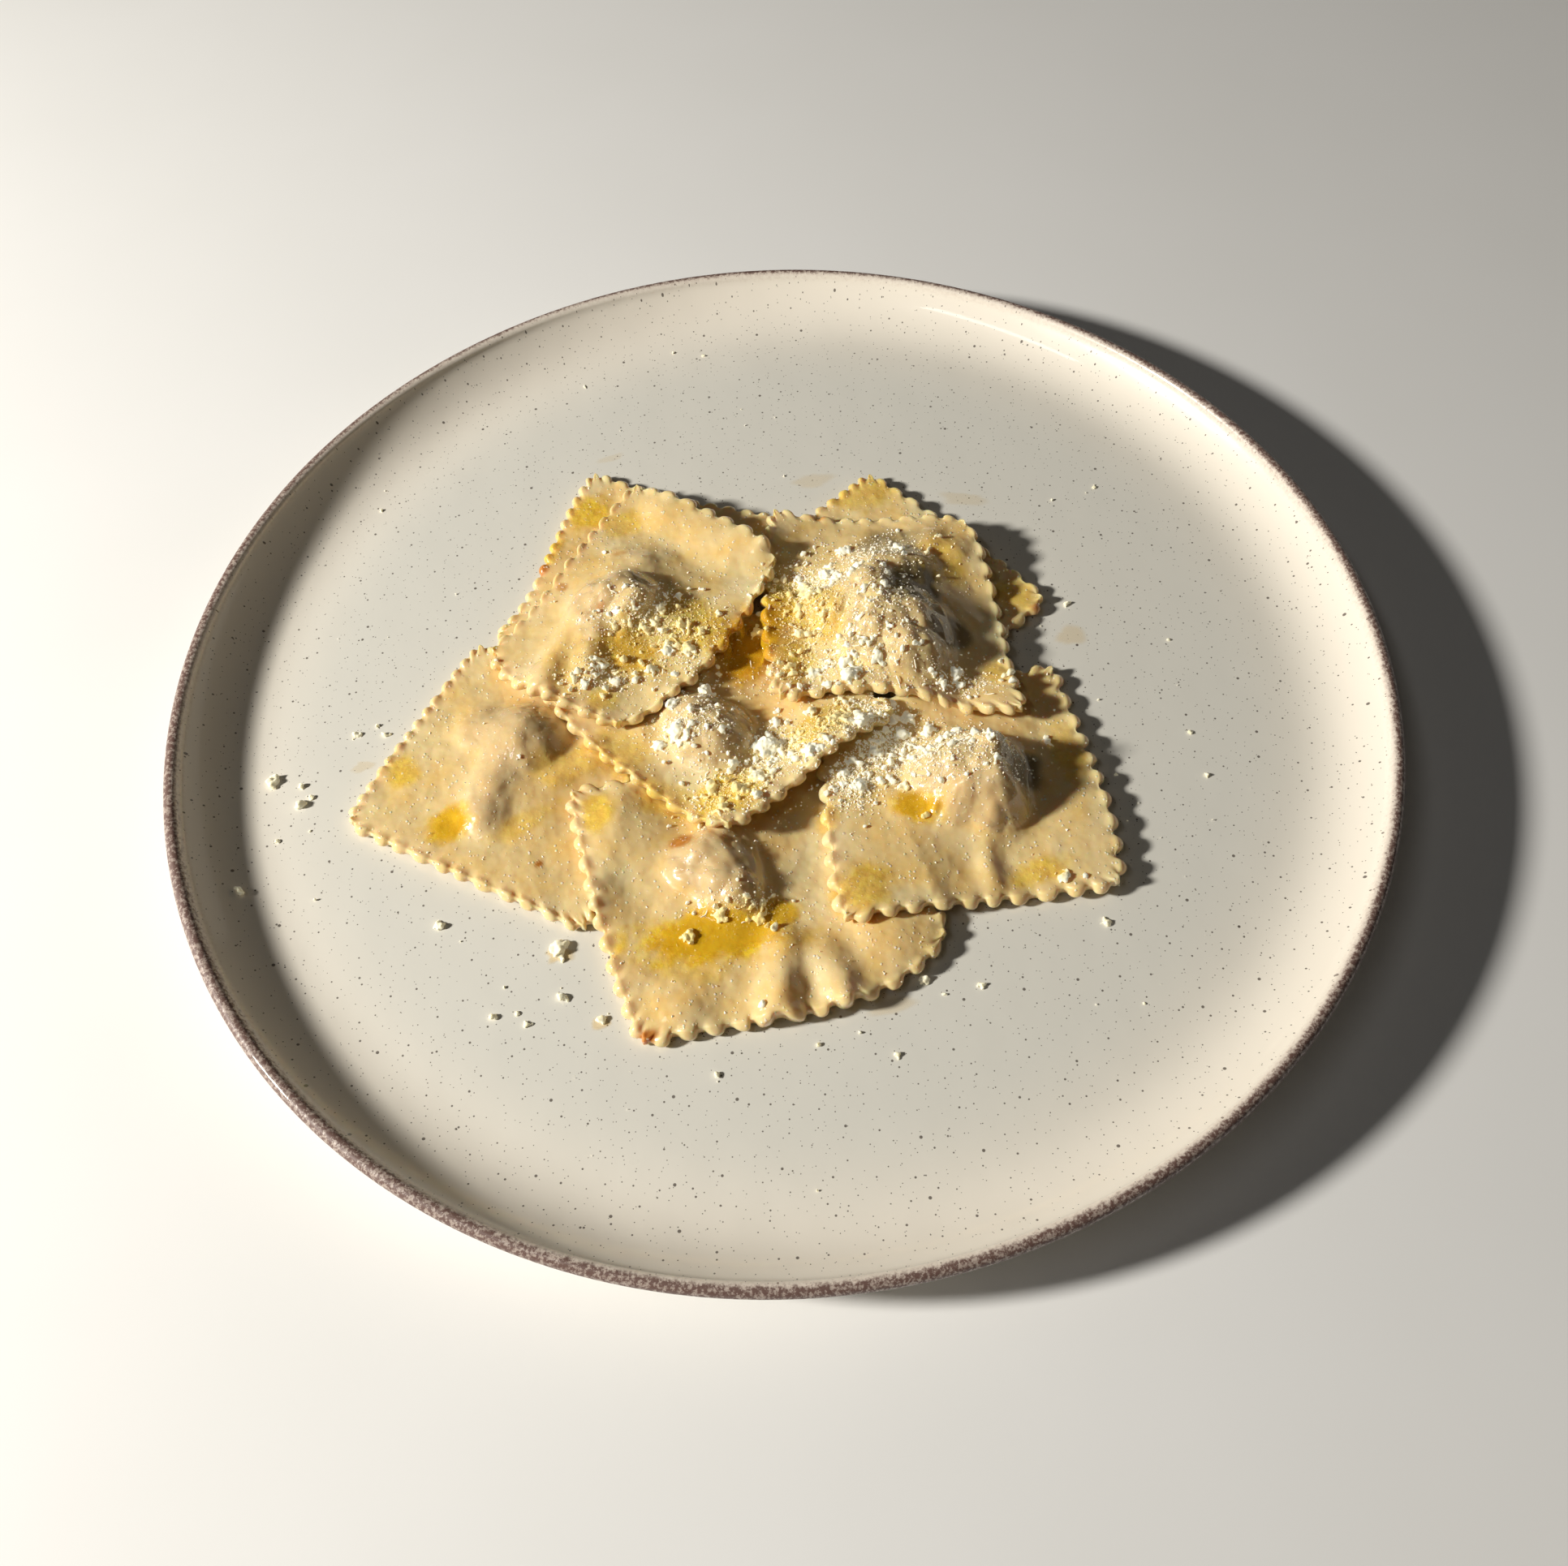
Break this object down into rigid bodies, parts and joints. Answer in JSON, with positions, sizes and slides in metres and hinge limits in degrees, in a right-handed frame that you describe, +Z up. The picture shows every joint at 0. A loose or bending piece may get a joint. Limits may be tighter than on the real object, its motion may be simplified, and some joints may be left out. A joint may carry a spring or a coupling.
{
  "type": "plate of ravioli",
  "caption": "Shallow round dinner plate with a heap of square zigzag-edged filled pasta, oil and grated cheese.",
  "frame": {"origin": "centre of the plate's foot, on the surface it stands on", "axes": "+Z up, +Y away from the diner towards the far rim, +X to the diner's right"},
  "size_m": [0.275, 0.275, 0.0268],
  "materials": {
    "glazed_stoneware": "glossy pale stone glaze with fine dark specks and a brown brushed rim",
    "boiled_pasta": "soft wet boiled egg pasta with a thin film of oil",
    "grated_cheese": "dry crumbly grated hard cheese",
    "oil": "thin golden oil film"
  },
  "bodies": {
    "root": {"plate": "glazed_stoneware", "raviolo_back_left": "boiled_pasta", "raviolo_left": "boiled_pasta", "raviolo_back_right": "boiled_pasta", "raviolo_front": "boiled_pasta", "raviolo_right": "boiled_pasta", "raviolo_middle": "boiled_pasta", "raviolo_top_right": "boiled_pasta", "raviolo_top_left": "boiled_pasta"}
  },
  "joints": []
}
